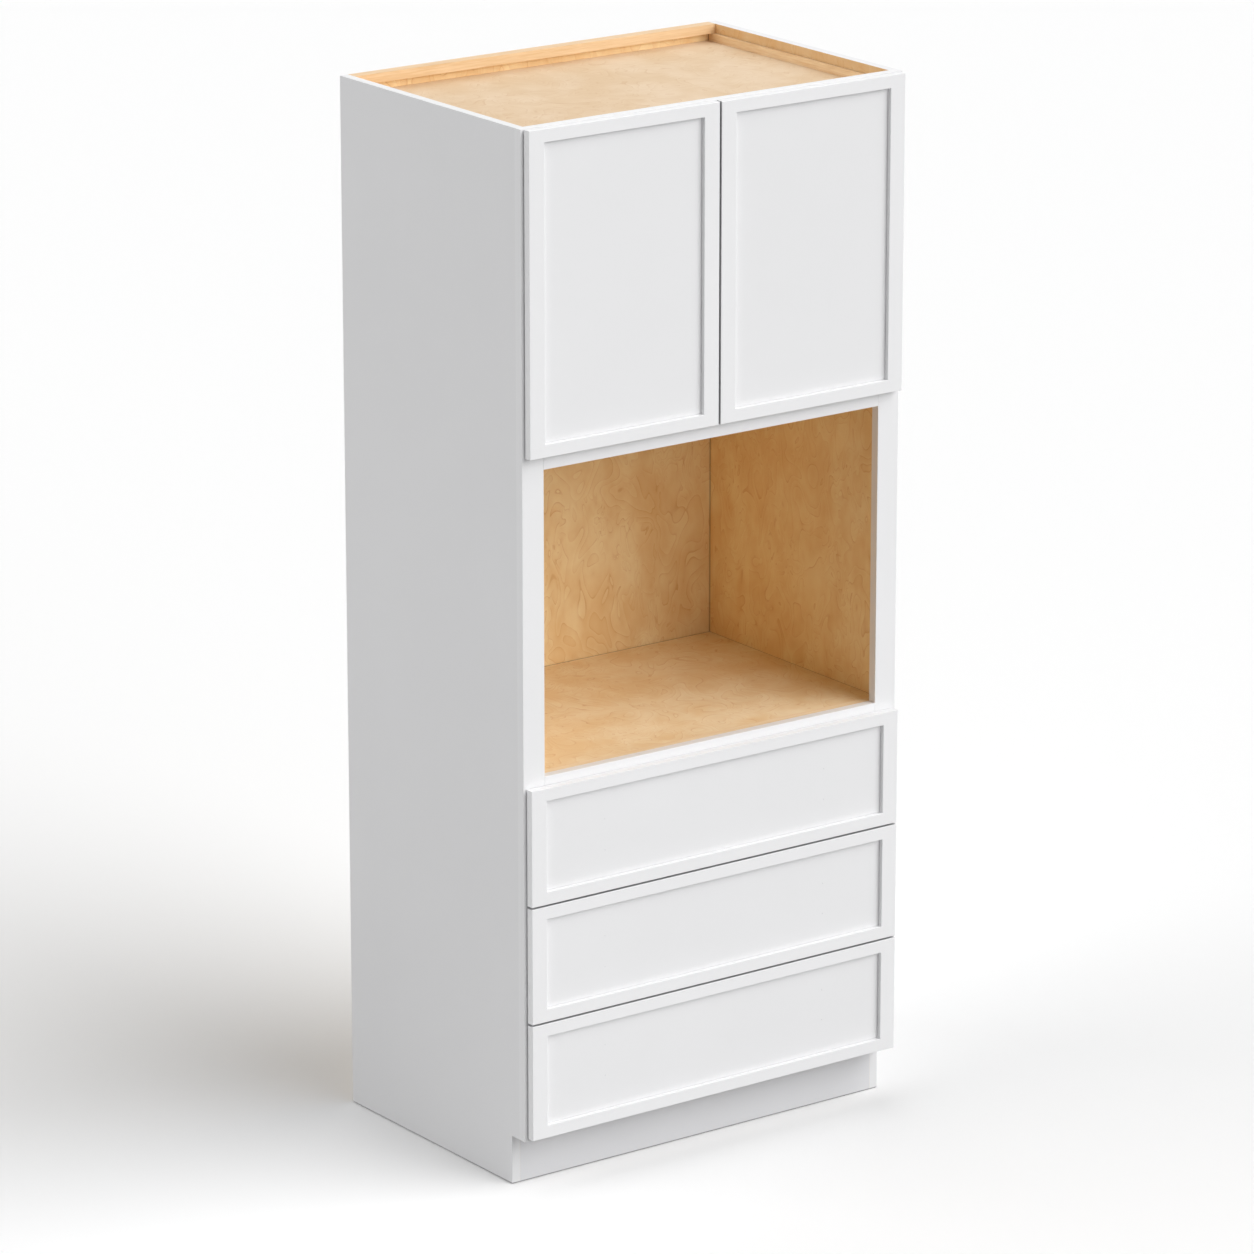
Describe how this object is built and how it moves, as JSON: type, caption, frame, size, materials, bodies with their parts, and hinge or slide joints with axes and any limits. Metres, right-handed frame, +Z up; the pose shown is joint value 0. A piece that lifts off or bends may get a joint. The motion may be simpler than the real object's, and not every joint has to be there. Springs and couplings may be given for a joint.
{
  "type": "oven cabinet",
  "caption": "Tall white framed kitchen cabinet for a built-in oven: doors above, an open veneered oven space, drawers below and a recessed plinth.",
  "frame": {"origin": "centre of the footprint on the floor, doors and drawers shut", "axes": "+X to the right seen from the front, +Y from the fronts to the wall, +Z up"},
  "size_m": [0.9144, 0.628, 2.1336],
  "materials": {
    "white_lacquer": "satin white sprayed lacquer on hardwood and smooth board",
    "maple_veneer": "clear satin coat on figured maple veneered plywood",
    "maple_wood": "clear coated solid maple strips",
    "zinc_steel": "bright zinc plated rolled sheet",
    "nickel_steel": "nickel plated pressed steel",
    "bumper_rubber": "translucent soft bumper"
  },
  "bodies": {
    "cabinet": {"adjustable_shelf": "maple_veneer", "back_panel": "maple_veneer", "bottom_cabinet_runners": "zinc_steel", "bottom_panel": "maple_veneer", "bottom_rail": "white_lacquer", "edge_bands": "maple_wood", "hinge_arm_screws": "nickel_steel", "hinge_arms": "nickel_steel", "left_side_panel": "white_lacquer", "left_stile": "white_lacquer", "lower_drawer_rail": "white_lacquer", "lower_oven_rail": "white_lacquer", "middle_cabinet_runners": "zinc_steel", "oven_platform": "maple_veneer", "platform_cleats": "maple_wood", "plinth_glue_blocks": "maple_wood", "right_side_panel": "white_lacquer", "right_stile": "white_lacquer", "shelf_pins": "nickel_steel", "slide_mounting_strips": "maple_wood", "slide_screws": "zinc_steel", "toe_kick_board": "white_lacquer", "top_cabinet_runners": "zinc_steel", "top_cleats": "maple_wood", "top_hanging_rail": "maple_wood", "top_panel": "maple_veneer", "top_rail": "white_lacquer", "upper_compartment_floor": "maple_veneer", "upper_drawer_rail": "white_lacquer", "upper_oven_rail": "white_lacquer"},
    "left_door": {"left_door_bumpers": "bumper_rubber", "left_door_panel": "white_lacquer", "left_door_rails": "white_lacquer", "left_door_stiles": "white_lacquer", "left_hinge_cups": "nickel_steel", "left_hinge_pins": "nickel_steel"},
    "right_door": {"right_door_bumpers": "bumper_rubber", "right_door_panel": "white_lacquer", "right_door_rails": "white_lacquer", "right_door_stiles": "white_lacquer", "right_hinge_cups": "nickel_steel", "right_hinge_pins": "nickel_steel"},
    "bottom_drawer": {"bottom_drawer_bottom": "maple_veneer", "bottom_drawer_box": "maple_wood", "bottom_drawer_front_frame": "white_lacquer", "bottom_drawer_front_panel": "white_lacquer", "bottom_drawer_runners": "zinc_steel"},
    "bottom_middle_runners": {"bottom_middle_runners": "zinc_steel"},
    "middle_drawer": {"middle_drawer_bottom": "maple_veneer", "middle_drawer_box": "maple_wood", "middle_drawer_front_frame": "white_lacquer", "middle_drawer_front_panel": "white_lacquer", "middle_drawer_runners": "zinc_steel"},
    "middle_middle_runners": {"middle_middle_runners": "zinc_steel"},
    "top_drawer": {"top_drawer_bottom": "maple_veneer", "top_drawer_box": "maple_wood", "top_drawer_front_frame": "white_lacquer", "top_drawer_front_panel": "white_lacquer", "top_drawer_runners": "zinc_steel"},
    "top_middle_runners": {"top_middle_runners": "zinc_steel"}
  },
  "joints": [
    {"name": "left_door_hinge", "type": "hinge", "parent": "cabinet", "child": "left_door", "pos_m": [-0.4446, -0.30705, 1.58298], "axis": [0, 0, -1], "range_deg": [0, 105]},
    {"name": "right_door_hinge", "type": "hinge", "parent": "cabinet", "child": "right_door", "pos_m": [0.4446, -0.30705, 1.58298], "axis": [0, 0, 1], "range_deg": [0, 105]},
    {"name": "bottom_drawer_slide", "type": "slide", "parent": "cabinet", "child": "bottom_drawer", "axis": [0, -1, 0], "range_m": [0, 0.52]},
    {"name": "bottom_middle_runner_slide", "type": "slide", "parent": "cabinet", "child": "bottom_middle_runners", "axis": [0, -1, 0], "range_m": [0, 0.26]},
    {"name": "middle_drawer_slide", "type": "slide", "parent": "cabinet", "child": "middle_drawer", "axis": [0, -1, 0], "range_m": [0, 0.52]},
    {"name": "middle_middle_runner_slide", "type": "slide", "parent": "cabinet", "child": "middle_middle_runners", "axis": [0, -1, 0], "range_m": [0, 0.26]},
    {"name": "top_drawer_slide", "type": "slide", "parent": "cabinet", "child": "top_drawer", "axis": [0, -1, 0], "range_m": [0, 0.52]},
    {"name": "top_middle_runner_slide", "type": "slide", "parent": "cabinet", "child": "top_middle_runners", "axis": [0, -1, 0], "range_m": [0, 0.26]}
  ],
  "couplings": [
    {"joint": "bottom_middle_runner_slide", "follows": "bottom_drawer_slide", "ratio": 0.5},
    {"joint": "middle_middle_runner_slide", "follows": "middle_drawer_slide", "ratio": 0.5},
    {"joint": "top_middle_runner_slide", "follows": "top_drawer_slide", "ratio": 0.5}
  ]
}
